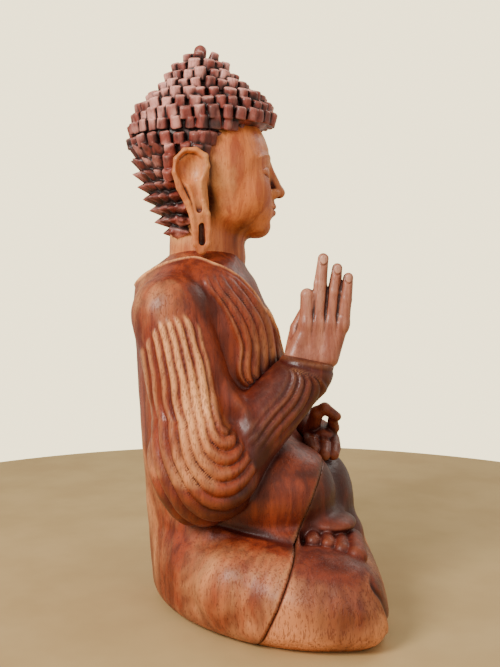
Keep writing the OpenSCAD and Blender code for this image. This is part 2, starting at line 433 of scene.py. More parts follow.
def varnished_wood(name, pale, middle, dark, stain_and_shade, gloss=0.42, pore=1.0, coat=0.3):
    """Red-brown hardwood: growth streaks and open pores along the grain, staining and painted shade in
    the hollows, a paler worn look on the ridges, under a coat of varnish."""
    n = Nodes(name)
    coords = n.node("ShaderNodeTexCoord").outputs["Object"]
    streaks = n.noise(coords, (1, 1, 0.07), 85, 6, 0.62, 0.6)
    clouds = n.noise(coords, (1, 1, 0.55), 14, 4, 0.6, 0.4)
    pores = n.noise(coords, (1, 1, 0.24), 560, 2, 0.6, 0.6)
    specks = n.noise(coords, (1, 1, 0.35), 260, 3, 0.6, 0.8)
    tone = n.mark("tone")
    base = n.mix(n.band(streaks, 0.33, 0.68), dark, middle)
    # Tone holds random variation together with painted light and shade: high tone turns pale, low tone
    # takes the staining colour.
    level = n.maths("ADD", clouds, n.maths("MULTIPLY", tone, 0.36))
    base = n.mix(n.band(level, 0.46, 0.88), base, pale)
    base = n.mix(n.band(level, 0.40, 0.08), base, stain_and_shade)
    ridge = n.maths("MULTIPLY", n.mark("worn"), n.band(specks, 0.2, 0.7, 0.4, 1.0))
    base = n.mix(n.maths("MULTIPLY", ridge, 0.7), base, pale)
    # Staining and painted shade where the surface is concave or shut in.
    deep = n.mark("hollow")
    base = n.mix(n.band(deep, 0.08, 0.72, 0.0, 0.97), base, stain_and_shade)
    open_grain = n.maths("ADD", pores, n.maths("MULTIPLY", tone, 0.05))
    pits = n.maths("MULTIPLY", n.band(open_grain, 0.55, 0.66), pore)
    base = n.mix(n.maths("MULTIPLY", pits, 0.7), base, dark)
    n.feed(n.shader.inputs["Base Color"], base)
    sheen = n.band(clouds, 0.3, 0.7, gloss - 0.05, gloss + 0.12)
    rough = n.maths("ADD", sheen, n.maths("MULTIPLY", pits, 0.2))
    n.feed(n.shader.inputs["Roughness"], rough)
    n.shader.inputs["Coat Weight"].default_value = coat
    n.shader.inputs["Coat Roughness"].default_value = 0.26
    n.shader.inputs["Specular IOR Level"].default_value = 0.32
    low = n.maths("MULTIPLY", pits, -1.0)
    height = n.maths("ADD", low, n.maths("MULTIPLY", specks, 1.1))
    bump = n.node("ShaderNodeBump", {"Height": height, "Strength": 0.5, "Distance": 0.0008})
    n.feed(n.shader.inputs["Normal"], bump.outputs["Normal"])
    return n.material


def floor_finish():
    n = Nodes("pale_floor")
    coords = n.node("ShaderNodeTexCoord").outputs["Object"]
    grain = n.noise(coords, (1, 1, 1), 9, 3)
    base = n.mix(n.band(grain, 0.3, 0.7), colour(186, 154, 104), colour(196, 165, 114))
    n.feed(n.shader.inputs["Base Color"], base)
    n.shader.inputs["Roughness"].default_value = 0.7
    return n.material


TRUNK_WOOD = varnished_wood("trunk_wood", colour(250, 172, 112), colour(150, 60, 30), colour(96, 30, 17),
                            colour(66, 15, 9), 0.42, 0.7, 0.15)
HEAD_WOOD = varnished_wood("head_wood", colour(252, 190, 122), colour(220, 124, 64), colour(166, 74, 36),
                           colour(62, 14, 8), 0.45, 0.45, 0.15)
# The hair's pale colour also serves as the painted highlight on the tops of the curls.
HAIR_WOOD = varnished_wood("hair_wood", colour(244, 170, 156), colour(146, 60, 48), colour(84, 27, 22),
                           colour(22, 5, 5), 0.42, 0.4, 0.2)
LAP_WOOD = varnished_wood("lap_wood", colour(222, 142, 92), colour(122, 48, 26), colour(88, 27, 15),
                          colour(60, 13, 8), 0.44, 0.7, 0.12)
HAND_WOOD = varnished_wood("hand_wood", colour(226, 168, 140), colour(190, 118, 90), colour(140, 72, 52),
                           colour(52, 16, 11), 0.42, 0.5)
PEG_WOOD = varnished_wood("peg_wood", colour(226, 190, 140), colour(200, 160, 110), colour(180, 136, 90),
                          colour(110, 70, 40))


# ---------------------------------------------------------------- the body under the robe

LAP_FRONT = -FRONT
SEAT_BACK = BACK - 19
# Level sections of the seated body as loft takes them; the lowest six take their width from the knees
BODY_ROWS = [
    (0, KNEE - 18, -LAP_FRONT + 5, SEAT_BACK - 16, -66, 5.0, 1.8),
    (8, KNEE - 7, -LAP_FRONT + 1, SEAT_BACK - 9, -66, 5.0, 1.8),
    (34, KNEE, -LAP_FRONT - 1, SEAT_BACK - 3, -66, 4.6, 1.8),
    (56, KNEE - 6, -LAP_FRONT + 8, SEAT_BACK - 1, -64, 4.0, 1.8),
    (74, KNEE - 28, -LAP_FRONT + 24, SEAT_BACK, -56, 3.2, 1.8),
    (86, KNEE - 58, -LAP_FRONT + 34, SEAT_BACK + 1, -46, 2.8, 1.9),
    (97, 112, -LAP_FRONT + 40, SEAT_BACK + 2, -24, 2.5, 2.0),
    (130, 106, -88, SEAT_BACK + 3, 0, 2.4, 2.1),
    (155, 100, -72, SEAT_BACK + 5, 20, 2.3, 2.2),
    (172, 97, -54, SEAT_BACK + 6, 34, 2.2, 2.3),
    (190, 94, -42, SEAT_BACK + 7, 42, 2.2, 2.3),
    (230, 93, -36, BACK - 10, 46, 2.2, 2.3),
    (270, 94, -32, BACK - 8, 48, 2.2, 2.3),
    (305, 96, -24, BACK - 6, 52, 2.2, 2.3),
    (330, 93, -13, BACK - 6, 56, 2.2, 2.2),
    (348, 87, -5, BACK - 10, 56, 2.1, 2.1),
    (360, 77, 3, BACK - 19, 56, 2.0, 2.0),
    (368, 66, 7, BACK - 31, 54, 2.0, 2.0),
    (375, 53, 9, BACK - 40, 51, 2.0, 2.0),
    (381, 43, 10, BACK - 44, 50, 2.0, 2.0),
]
BODY = loft(BODY_ROWS)

SHOULDER = (-86, 82, 314)
ELBOW = (-110, 40, 156)
RIGHT_WRIST = (-64, -56, 254)
# How much higher the raised hand sits than it is drawn
HAND_LIFT = 4.0
LEFT_WRIST = (46, -58, 176)

# The rim of the right cuff: how it climbs with y, and its height at y = 0
CUFF_RISE = 0.196
CUFF_UP = 277.0

UPPER_ARM = limb(SHOULDER, 39, ELBOW, 40)
DRAPE = ball((-96, 48, 176), (52, 54, 73), (8, 0, 0))
CROOK_HOLLOW = run([(-126, 36, 316, 6), (-130, 32, 286, 10), (-131, 26, 250, 13), (-132, 16, 216, 13),
                    (-140, 2, 188, 9), (-148, -4, 160, 5)], 6)


def under_cuff(y, z):
    """How far a place is under the sloping rim of the right cuff."""
    return CUFF_UP + CUFF_RISE * y - z


def below_cuff(shape):
    """The part of the right forearm under the rim of its cuff."""
    def field(x, y, z):
        return -soft_min(-shape.field(x, y, z), under_cuff(y, z) + 0 * x, 4)

    return Shape(shape.low, shape.high, field)


RIGHT_FOREARM = below_cuff(limb(ELBOW, 37, RIGHT_WRIST, 27))
LEFT_FOREARM = limb((-ELBOW[0], ELBOW[1], ELBOW[2]), 38, LEFT_WRIST, 22)


def sleeve(forearm, side):
    """One whole sleeve as a single shape."""
    parts = [UPPER_ARM, DRAPE] if side < 0 else [mirrored(UPPER_ARM), mirrored(DRAPE)]

    def field(x, y, z):
        total = soft_min(parts[0].field(x, y, z), parts[1].field(x, y, z), 14)
        return soft_min(total, forearm.field(x, y, z), 12)

    shapes = parts + [forearm]
    low = np.min([s.low for s in shapes], axis=0) - 4
    high = np.max([s.high for s in shapes], axis=0) + 4
    return Shape(low, high, field)


RIGHT_SLEEVE = sleeve(RIGHT_FOREARM, -1)
LEFT_SLEEVE = sleeve(LEFT_FOREARM, 1)


def add_legs(clay):
    """The crossed legs and the robe heaped over them, on both sides of the glued face."""
    for side, top in ((-1, 126), (1, 118)):
        clay.add(ball((side * 54, -20, top), (60, 68, 55)), 8)
        clay.add(limb((side * 120, 12, 46), 44, (side * 142, -84, 42), 42), 5)


def trunk_clay():
    clay = Clay((-KNEE, -100, 0), (KNEE, BACK, 404), 1.5)
    clay.add(BODY)
    add_legs(clay)
    for side in (-1, 1):
        clay.add(limb((side * 42, 66, 336), 32, (side * 84, 78, 316), 37), 14)
    clay.add(RIGHT_SLEEVE, 4)
    clay.add(LEFT_SLEEVE, 4)
    clay.cut(CROOK_HOLLOW, 6)
    clay.cut(mirrored(CROOK_HOLLOW), 6)
    clay.cut(half_space((0, SEAM_Y + SEAM_GAP, 0), (0, 1, SEAM_SLOPE)), 1.2)
    clay.cut(half_space((0, 0, 0), (0, 0, 1)))
    return clay


def reeds(phase, sharp=0.75):
    """Rounded ridges with narrow grooves between them, one to each unit of phase: 0 to 1."""
    return np.abs(np.sin(math.pi * phase)) ** sharp


# How far forward the crook of the arm lies by height, and how much higher it is on each arm
CROOK_UPS = [134, 158, 182, 214, 262, 305, 345]
CROOK_AHEADS = [2, 5, -4, -24, -34, -45, -62]
FOLD_LIFT = {-1: 0, 1: 12}


def fold_phase(ahead, up, edge):
    """Counts the folds of a sleeve outward from the crook of the arm: upright beside it, then in
    U shapes under it."""
    under = np.hypot(ahead + 24, 0.64 * (214 - up))
    return np.where(up < 214, under, np.maximum(edge - ahead, 0))


def sleeve_folds(points, side):
    """Height of the cloth folds on one upper sleeve, and how strong they are at each place."""
    ahead = MID_Y - points[:, 1]
    up = points[:, 2] - FOLD_LIFT[side]
    edge = through(CROOK_UPS, CROOK_AHEADS, up)
    wander = 2.4 * mottle(points, (60, 50, 60), 11 + side) + 0.8 * mottle(points, 18, 15)
    phase = (fold_phase(ahead, up, edge) + wander) / 9.2
    ceiling = 320 - 0.02 * (ahead + 65) ** 2 + 6 * mottle(points, (9, 9, 400), 5)
    arch = 7 * (1 - np.sqrt(np.clip(1 - (2 * (phase % 1) - 1) ** 2, 0, 1)))
    amount = smoothstep(0, 10, ceiling - up - arch) * smoothstep(0.3, 0.9, phase)
    amount *= smoothstep(4, -3, ahead - edge)
    depth = 3.4 + 1.4 * smoothstep(230, 170, up)
    return amount * depth * (reeds(phase) - 0.5), amount, phase


def cuff_folds(points):
    """Folds that leave the inner end of the right cuff together, then turn down along the forearm."""
    ahead = MID_Y - points[:, 1] - 26
    up = points[:, 2] - RIGHT_WRIST[2] - 8
    across = 0.73 * ahead - 0.68 * up
    under_rim = under_cuff(points[:, 1], points[:, 2])
    turn = np.sqrt(1 - np.exp(-np.maximum(under_rim - 8, 0.2) / 12))
    arc = across / turn + 2.0 * mottle(points, (30, 24, 24), 17)
    amount = smoothstep(14, 30, arc) * smoothstep(66, 60, arc) * smoothstep(8, 14, under_rim)
    amount *= smoothstep(100, 60, under_rim) * smoothstep(6, 16, across)
    return amount * 2.8 * (reeds(arc / 8.2) - 0.6)


# Height of the robe's edge round the neck, by angle from behind (-180) to the front (0)
HEM_ANGLES = [-180, -166, -144, -122, -107, -93, -76, -60, -48, -35, -26, -13, 0]
HEM_HEIGHTS = [343, 345, 358, 368, 371, 367, 357, 340, 323, 304, 281, 250, 236]

# How far forward the panel of pleats starts and ends, by height
FLAP_UPS = [232, 245, 287, 320, 350]
FLAP_AHEADS = [2, -11, -16, -30, -50]
FRONT_UPS = [232, 250, 281, 304, 323, 340, 357, 371]
FRONT_AHEADS = [32, 28, 24, 18, 7, -4, -22, -50]


def hem_height(x, y):
    around = -np.degrees(np.abs(np.arctan2(x, 40 - y)))
    return through(HEM_ANGLES, HEM_HEIGHTS, around)


def over_surface(level, points, normals):
    """Turns a level function into a distance along the surface from where it is zero."""
    step = 0.5
    here = level(points)
    slope = np.stack([(level(points + step * axis) - here) / step for axis in np.eye(3)], axis=1)
    slope -= (slope * normals).sum(axis=1, keepdims=True) * normals
    return here / np.maximum(np.linalg.norm(slope, axis=1), 0.25)


def trunk_relief(points, normals):
    x, y, z = points.T
    ahead = MID_Y - y
    body = BODY.field(x, y, z)
    rise = 0.35 * mottle(points, 14, 1) + 0.15 * mottle(points, 6, 2)
    tone = 0.25 * mottle(points, (45, 45, 120), 3)
    on_sleeves = np.zeros(len(points))
    beside = np.full(len(points), 100.0)
    for shape, side in ((RIGHT_SLEEVE, -1), (LEFT_SLEEVE, 1)):
        gap = body - shape.field(x, y, z)
        covered = smoothstep(-1, 5, gap) * (x * side > 0)
        folds, amount, phase = sleeve_folds(points, side)
        fade = smoothstep(128, 96, y) * smoothstep(0.35, 0.0, -normals[:, 0] * side)
        rise += covered * folds * fade
        # Painted highlights on the fold crests and painted shade in the grooves, on the back of the
        # upper sleeve that faces the key light.
        painted_crest_light = smoothstep(150, 250, z) * smoothstep(-20, -50, ahead)
        tone += covered * amount * fade * (reeds(phase, 1.0) - 0.25) * painted_crest_light
        # Painted shade on the front of the sleeve and in the crook of the arm; the sleeve is also darker
        # towards its bottom.
        valley = ahead - through(CROOK_UPS, CROOK_AHEADS, z - FOLD_LIFT[side])
        dark = smoothstep(-3, 4, valley) * smoothstep(36, 12, valley) * smoothstep(140, 175, z)
        tone -= covered * (0.9 * smoothstep(-24, 14, ahead) + 0.45 * dark)
        tone -= covered * smoothstep(165, 130, z)
        if side < 0:
            rim = under_cuff(y, z)
            rise += covered * cuff_folds(points)
            edging = bell(rim - 2, 1.8) - 0.8 * bell(rim - 6.5, 1.8)
            rise += covered * smoothstep(20, 30, ahead) * edging
        on_sleeves = np.maximum(on_sleeves, covered)
        beside = np.minimum(beside, -gap)
    # The robe's edge round the neck
    out = -over_surface(lambda p: p[:, 2] - hem_height(p[:, 0], p[:, 1]), points, normals)
    bare = smoothstep(0.9, -0.9, out)
    rise += 1.4 - 3.4 * bare + 1.9 * bell(out - 2.2, 1.7)
    rise += 0.9 * bell(out - 8.5, 1.4) * smoothstep(-60, -20, ahead)
    tone += 0.9 * bell(out - 2.2, 2.0) - 0.1 * bare
    # The panel of pleats between the shoulder and the robe's edge, down to its rounded lower end
    start = through(FLAP_UPS, FLAP_AHEADS, z)
    share = (ahead - start) / np.maximum(through(FRONT_UPS, FRONT_AHEADS, z) - start, 8)
    share += 0.05 * mottle(points, (30, 30, 80), 7)
    panel = (1 - on_sleeves) * (1 - bare) * smoothstep(226, 234, z) * smoothstep(0, 4, ahead - start)
    panel *= smoothstep(366, 345, z)
    pleats = panel * smoothstep(1.15, 1.0, share) * smoothstep(360, 325, z)
    ridge = reeds(5 * share, 0.6)
    rise += 2.5 * panel + pleats * 3.6 * (ridge - 0.55)
    shade = (1 - on_sleeves) * (1 - panel) * smoothstep(40, 10, beside) * smoothstep(-70, -40, ahead)
    shade *= smoothstep(190, 220, z) * smoothstep(360, 330, z)
    # Painted highlights on the pleat crests, painted shade in their grooves and on the chest beside the
    # arm.
    tone += pleats * (0.3 * ridge - 0.1) - 0.45 * shade
    # The darker robe between the sleeve and the lap, with its grain running level
    waist = (1 - on_sleeves) * smoothstep(-40, 0, ahead)
    waist *= smoothstep(90, 100, z) * smoothstep(200, 170, z)
    tone += waist * (0.5 * mottle(points, (70, 70, 9), 8) - 0.6)
    # The crease between thigh and robe, with painted shade along it, and the glued joint
    crease = z - (96 - 0.17 * ahead)
    along = smoothstep(-60, -10, ahead) * smoothstep(80, 96, np.abs(x))
    rise -= along * 2.4 * bell(crease, 2.8)
    tone -= along * 1.2 * bell(crease, 4.5)
    tone -= 3.0 * bell(from_seam(y, z), 1.2) * (1 - on_sleeves)
    return rise * smoothstep(0, 4, z), tone


def head_clay():
    clay = Clay((-84, -46, 358), (84, 130, 552), 0.9)
    clay.add(ball((0, 50, 480), (60, 65, 58)))
    clay.add(ball((0, 24, 458), (53, 43, 62)), 16)
    clay.add(ball((0, 22, 424), (42, 38, 28)), 14)
    clay.add(ball((0, -6, 405), (17, 14, 12)), 12)
    clay.add(ball((0, -11, 424), (21, 12.5, 16)), 8)
    clay.add(ball((0, -18, 432), (9, 6.5, 7)), 4)
    clay.add(limb((0, 49, 372), 42, (0, 51, 430), 38), 10)
    for side in (-1, 1):
        clay.add(ball((side * 24, -1, 440), (20, 18, 22)), 12)
        clay.add(ball((side * 21, -9, 461), (13, 9, 8.5)), 3)
        clay.add(limb((side * 9, -15.5, 475), 3.2, (side * 40, 2, 477), 3.0), 9)
    # Nose, lips and the dip under the lower lip
    clay.add(limb((0, -16, 474), 4.0, (0, -27, 446), 6.0), 5)
    clay.add(ball((0, -29, 442), (7.4, 7.2, 6.2)), 4)
    for side in (-1, 1):
        clay.add(ball((side * 8, -22.5, 440.5), (5.2, 7.0, 5.0)), 4)
        clay.add(limb((side * 2.6, -23.4, 427), 2.9, (side * 14.5, -17.0, 425.4), 1.8), 2.5)
        clay.add(limb((0, -21.8, 420.4), 3.6, (side * 11.5, -17.2, 422.4), 2.0), 2.5)
        clay.cut(ball((side * 4.4, -28, 436.4), (2.2, 3.2, 1.6)), 1.2)
    clay.cut(ball((0, -27, 411), (14, 6, 3.2)), 5)
    clay.cut(half_space((0, 0, 358), (0, 0, 1)), 2)
    for side in (-1, 1):
        add_ear(clay, side)
    return clay


# The ear's rim as (ahead, height, radius), from its front over the top and round the lobe
EAR_RIM = [(-49, 452, 2.6), (-44, 464, 3.2), (-46, 474, 3.4), (-55, 479.5, 3.4), (-66, 478.5, 3.4),
           (-74, 470, 3.6), (-75.5, 457, 3.6), (-71.5, 442, 3.6), (-64, 427, 3.4), (-59, 413, 3.2),
           (-56.5, 398, 3.2), (-55.5, 386, 3.6), (-50, 378.5, 4.4), (-44, 386, 3.6), (-43, 400, 3.2),
           (-44, 416, 3.2), (-48, 428, 2.8)]


def ear_depth(ahead, up):
    """How far out from the middle the ear's rim lies."""
    return 70 + 0.24 * (-ahead - 52) - 0.07 * (470 - up)


def add_ear(clay, side):
    rim = [(side * ear_depth(f, z), MID_Y - f, z, r) for f, z, r in EAR_RIM]
    clay.add(limb((side * 60, 64, 460), 17, (side * 58, 53, 418), 9), 6)
    clay.add(ball((side * 64, 62, 458), (9, 18, 22)), 3)
    clay.add(limb((side * 63, 55, 424), 7.5, (side * 60, 53, 382), 6.0), 3)
    clay.add(run(rim, 1.5), 2.5)
    clay.cut(ball((side * 77, 62, 461), (12, 14.5, 17.5)), 2)
    clay.cut(limb((side * 75, 58, 446), 6.5, (side * 69, 54, 420), 3.0), 2)
    clay.cut(limb((side * 66, 52, 404), 2.6, (side * 64, 52, 387), 3.6), 1.2)
    clay.cut(limb((side * 54, 52, 404), 2.6, (side * 54, 52, 387), 3.6), 1.2)


def head_relief(points, normals):
    x, y, z = points.T
    side = np.abs(x)
    face = smoothstep(14, -4, y)
    rise = 0.22 * mottle(points, 13, 21) + 0.1 * mottle(points, 5, 22)
    slit = z - (456.6 + 0.016 * (side - 21) ** 2)
    crease = z - (467.5 - 0.018 * (side - 21) ** 2)
    brow = z - (480.5 - 0.013 * (side - 20) ** 2)
    on_eye = smoothstep(8, 11, side) * smoothstep(36, 32, side) * face
    on_brow = smoothstep(3, 7, side) * smoothstep(44, 38, side) * face
    rise -= on_eye * (1.5 * bell(slit, 0.9) + 0.8 * bell(crease, 0.8))
    rise += on_brow * 1.2 * bell(brow, 1.7)
    mouth = z - (423.7 + 0.012 * x ** 2)
    rise -= face * smoothstep(17, 14, side) * 1.2 * bell(mouth, 0.8)
    rise -= face * 0.7 * bell(x, 1.6) * smoothstep(427, 430, z) * smoothstep(437, 433, z)
    tone = 0.3 * mottle(points, (40, 40, 110), 23)
    # Painted light on the upper, rear part of the face and painted shade under the chin and on the front
    # of the neck.
    tone += 0.35 * smoothstep(430, 470, z) * smoothstep(-20, 20, y)
    tone -= 0.35 * smoothstep(425, 400, z) * smoothstep(60, 30, y)
    return rise, tone


# ---------------------------------------------------------------- hair

# Level sections of the hair out to the tips of its curls, as loft takes them
HAIR_ROWS = [
    (394, 38, 62, 92, 76, 2.0, 2.0),
    (410, 50, 52, 101, 74, 2.0, 2.0),
    (430, 60, 44, 112, 70, 2.0, 2.0),
    (452, 66, 36, 123, 62, 2.0, 2.1),
    (484, 70, 28, 133, 58, 2.0, 2.1),
    (512, 69, -12, 134, 56, 2.1, 2.0),
    (518, 69, -25, 133, 54, 2.1, 2.0),
    (528, 66, -24, 131, 53, 2.0, 2.0),
    (538, 60, -19, 121, 52, 2.0, 2.0),
    (546, 54, -9, 108, 52, 2.0, 2.0),
    (555, 48, 6, 101, 53, 2.0, 2.0),
    (564, 41, 15, 95, 54, 2.0, 2.0),
    (575, 32, 24, 87, 55, 2.0, 2.0),
    (583, 23, 33, 78, 55.5, 2.0, 2.0),
    (590, 14, 42, 69, 56, 2.0, 2.0),
]


HAIRLINE_AHEADS = [-64, -58, -50, -44, -38, -26, -14, 0]
HAIRLINE_UPS = [396, 400, 440, 472, 484, 498, 506, 507]


def hairline(ahead):
    """Lowest height of the hair, by how far forward a place is."""
    return through(HAIRLINE_AHEADS, HAIRLINE_UPS, ahead)


def hair_ring(up, inset):
    """Section of the hair at a height, drawn in from the tips of the curls."""
    rows = np.array(HAIR_ROWS)
    measures = (through(rows[:, 0], rows[:, k], up) for k in range(1, 7))
    half, front, back, mid, front_sq, back_sq = measures
    return half - inset, front + inset, back - inset, mid, front_sq, back_sq


def ring_place(section, angle):
    """A point of a section and the way out from it, by angle from the figure's left."""
    half, front, back, mid, front_sq, back_sq = section
    ahead = math.sin(angle) < 0
    power = front_sq if ahead else back_sq
    reach = mid - front if ahead else back - mid
    c, s = math.cos(angle), math.sin(angle)
    x = half * math.copysign(abs(c) ** (2 / power), c)
    y = mid + reach * math.copysign(abs(s) ** (2 / power), s)
    out = np.array([c / half, s / reach, 0])
    return np.array([x, y]), out / np.linalg.norm(out)


def peg(foot, axis, radius, height, spin, square):
    """An upright curl: a short tapered post with a rounded flat top."""
    axis = axis / np.linalg.norm(axis)
    u = np.cross(axis, (math.sin(spin), math.cos(spin), 0.3))
    u /= np.linalg.norm(u)
    v = np.cross(axis, u)
    rounding = 1.8

    def field(x, y, z):
        d = (x - foot[0], y - foot[1], z - foot[2])
        a, b, h = (sum(p * q for p, q in zip(d, way)) for way in (u, v, axis))
        girth = (np.abs(a) ** square + np.abs(b) ** square) ** (1 / square)
        wall = girth - (radius - 0.1 * h - rounding)
        cap = np.abs(h - height / 2) - (height / 2 - rounding)
        outside = np.hypot(np.maximum(wall, 0), np.maximum(cap, 0))
        return outside + np.minimum(np.maximum(wall, cap), 0) - rounding

    reach = radius + height
    return Shape(np.array(foot) - reach, np.array(foot) + reach, field)


def spike(foot, axis, wide, tall, length):
    """A curl at the back of the head: a flattened pyramid that points outward."""
    axis = axis / np.linalg.norm(axis)
    along = np.cross(axis, (0, 0, 1))
    along /= np.linalg.norm(along)
    up = np.cross(along, axis)

    def field(x, y, z):
        d = (x - foot[0], y - foot[1], z - foot[2])
        a, b, h = (sum(p * q for p, q in zip(d, way)) for way in (along, up, axis))
        girth = (np.abs(a / wide) ** 1.5 + np.abs(b / tall) ** 1.5) ** (1 / 1.5)
        cone = (girth + h / length - 1) * tall * 0.75
        return np.maximum(cone, -h - 2)

    reach = max(wide, length) + 2
    return Shape(np.array(foot) - reach, np.array(foot) + reach, field)


def hair_clay():
    rng = np.random.default_rng(31)
    clay = Clay((-80, -34, 388), (80, 140, 600), 0.95)
    heights = [row[0] for row in HAIR_ROWS[:-1]]
    clay.add(loft([(up - (4 if up > 500 else 0), *hair_ring(up, 9)) for up in heights]))
    line = Shape(clay.low, clay.low + 1e3, lambda x, y, z: (z - hairline(MID_Y - y) - 2) * 0.7 + 0 * x)
    clay.cut(line, 2)
    for side in (-1, 1):
        clay.cut(ball((side * 77, 59, 460), (14, 16, 24)), 2)
    pitch = 12.6
    ups = [401 + 11.6 * k for k in range(9)] + [509 + 10.6 * k for k in range(8)]
    for row, up in enumerate(ups):
        inset = 8 if up < 505 else 10
        section = hair_ring(up, inset)
        half, front, back = section[:3]
        around = math.pi * (half + (back - front) / 2)
        count = max(round(around / pitch), 4)
        for k in range(count):
            angle = 2 * math.pi * (k + 0.5 * (row % 2) + 0.14 * rng.uniform(-1, 1)) / count
            (x, y), out = ring_place(section, angle)
            size = rng.uniform(0.92, 1.14)
            spin = rng.uniform(0, 6.3)
            at_ear = abs(x) > 50 and 40 < y < 78 and 430 < up < 476
            if at_ear or up < hairline(MID_Y - y) + 1:
                continue
            if up < 450 or (up < 490 and y > 90):
                lift = through([400, 450, 490], [-0.2, 0.05, 0.5], up)
                axis = out + (0, 0, lift)
                foot = np.array([x, y, up]) - 5 * out
                clay.add(spike(foot, axis, 11.5 * size, 8.6 * size, 16.0 * size), 0.8)
            else:
                lean = through([450, 505], [0.9, 0.3], up)
                axis = lean * out + (0.12 * rng.uniform(-1, 1), 0.12 * rng.uniform(-1, 1), 1)
                foot = np.array([x, y, up - 6]) + (0.5 + rng.uniform(-1.5, 1.2)) * out
                tall = 13.0 * rng.uniform(0.88, 1.12)
                clay.add(peg(foot, axis, 6.5 * size, tall, spin, rng.uniform(2.0, 3.2)), 0.5)
    clay.cut(half_space((0, 0, KNOB_LOW[2] + 21), (0, 0, -1)))
    return clay


def hair_relief(points, normals):
    z = points[:, 2]
    rise = 0.25 * mottle(points, 5, 41)
    # Painted highlight: curls lighter towards the crown and on their upward faces.
    tone = 0.6 * smoothstep(485, 575, z) + 0.6 * smoothstep(0.1, 0.9, normals[:, 2]) - 0.25
    tone += 0.9 * mottle(points, 11, 42)
    return rise, tone


# ---------------------------------------------------------------- crown knob

def knob_clay():
    axis_y = (KNOB_LOW[1] + KNOB_HIGH[1]) / 2
    top = KNOB_HIGH[2]
    clay = Clay((-10, axis_y - 10, top - 32), (10, axis_y + 10, top), 0.5)
    clay.add(limb((0, axis_y, top - 28), 5.0, (0, axis_y, top - 12), 6.2))
    clay.add(ball((0, axis_y, top - 7), (6.9, 6.9, 6.9)), 2)
    clay.cut(ball((2.5, axis_y - 4, top - 1), (3.5, 2.0, 2.0)), 1)
    return clay


def knob_relief(points, normals):
    return 0.3 * mottle(points, 4, 51), 0.2 * mottle(points, 6, 52) - 0.2


# ---------------------------------------------------------------- hands

# How softly the bones of a finger run into each other
KNUCKLE = 1.0

def right_hand_clay():
    x = -64.0
    clay = Clay((-82, -108, 236), (-34, -26, 376), 0.75)
    clay.add(limb((x, -46, 264), 10, (x, -76, 264), 10))
    clay.add(limb((x, -56, 300), 7.6, (x, -92, 299), 7.0), 2)
    palm = (((-44, 266), (-58, 300)), ((-60, 262), (-68, 300)),
            ((-74, 262), (-80, 300)), ((-80, 266), (-92, 299)))
    for a, b in palm:
        clay.add(limb((x, a[0], a[1]), 10.5, (x, b[0], b[1]), 7.6), 6)
    clay.add(run([(x, -93, 297, 7.2), (x, -96.5, 324, 6.3), (x + 1, -99, 347, 5.2)], KNUCKLE), 3)
    clay.add(run([(x, -80.5, 301, 7.4), (x, -84, 332, 6.6), (x + 1, -87.5, 356.5, 5.4)], KNUCKLE), 3)
    clay.add(run([(x, -67.5, 302, 7.6), (x, -70, 340, 6.8), (x + 1, -73, 366.5, 5.6)], KNUCKLE), 3)
    clay.add(run([(x, -56, 300, 7.6), (x + 1, -56.5, 329, 6.8)], KNUCKLE), 3)
    clay.add(run([(x + 1, -56.5, 329, 6.8), (x + 14, -58, 329, 6.0), (x + 20, -60, 313, 5.2)], 0.0), 1)
    clay.add(run([(x + 10, -44, 270, 10), (x + 17, -47, 294, 7.2), (x + 20, -56, 313, 5.6)], KNUCKLE), 4)
    clay.cut(ball((x + 14, -72, 276), (9, 20, 24)), 6)
    clay.lift(HAND_LIFT)
    clay.cut(half_space((0, 0, CUFF_UP - 4), (0, -CUFF_RISE, 1)))
    return clay


def right_hand_relief(points, normals):
    y = points[:, 1]
    z = points[:, 2] - HAND_LIFT
    rise = 0.2 * mottle(points, 10, 61) + 0.1 * mottle(points, 4, 62)
    outer = smoothstep(0.2, 0.7, -normals[:, 0])
    tone = 0.25 * mottle(points, (12, 12, 40), 63)
    for tip_y, tip_z, size in ((-99, 347, 4.0), (-87.5, 356.5, 4.3), (-73, 366.5, 4.5)):
        u = (y - tip_y) / size
        v = (z - (tip_z - 1)) / (size * 1.25)
        nail = 1 - np.hypot(u, v)
        rise += outer * (0.9 * smoothstep(0, 0.2, nail) - 0.9 * bell(nail, 0.16))
        tone += outer * 0.5 * smoothstep(0, 0.3, nail)
    for gap_y, top in ((-62, 345), (-74.5, 352), (-86.5, 345)):
        lean = gap_y - 0.09 * (z - 300)
        rise -= outer * 1.3 * bell(y - lean, 1.4) * smoothstep(276, 306, z) * smoothstep(top + 6, top, z)
    return rise, tone


def left_hand_clay():
    clay = Clay((-66, -112, 136), (64, -40, 216), 0.75)
    clay.add(run([(46, -58, 176, 15), (34, -64, 176, 15), (12, -74, 174, 16), (-6, -77, 173, 14)], 4))
    clay.add(run([(0, -66, 174, 9), (-26, -65, 171, 8), (-41, -66, 166, 6.6)], KNUCKLE), 3)
    clay.add(run([(0, -78, 172, 9), (-28, -78, 168, 7.6), (-44, -77, 162, 6.4)], KNUCKLE), 2)
    clay.add(run([(0, -89, 170, 8.5), (-26, -89, 166, 7.4), (-39, -87, 161, 6.2)], KNUCKLE), 2)
    forefinger = [(-4, -66, 182, 8.5), (-18, -71, 203, 7.2), (-21, -79, 208, 6.4), (-20, -92, 199, 5.2)]
    clay.add(run(forefinger, 2), 2)
    clay.add(run([(14, -86, 176, 9), (-4, -90, 184, 7.0), (-16, -88, 195, 5.4)], KNUCKLE), 3)
    clay.cut(half_space((LEFT_WRIST[0] - 2, LEFT_WRIST[1] - 1.5, LEFT_WRIST[2]), (-0.83, -0.55, 0.05)))
    return clay


def left_hand_relief(points, normals):
    return 0.25 * mottle(points, 8, 71), 0.2 * mottle(points, 12, 72) - 0.25


# ---------------------------------------------------------------- lap

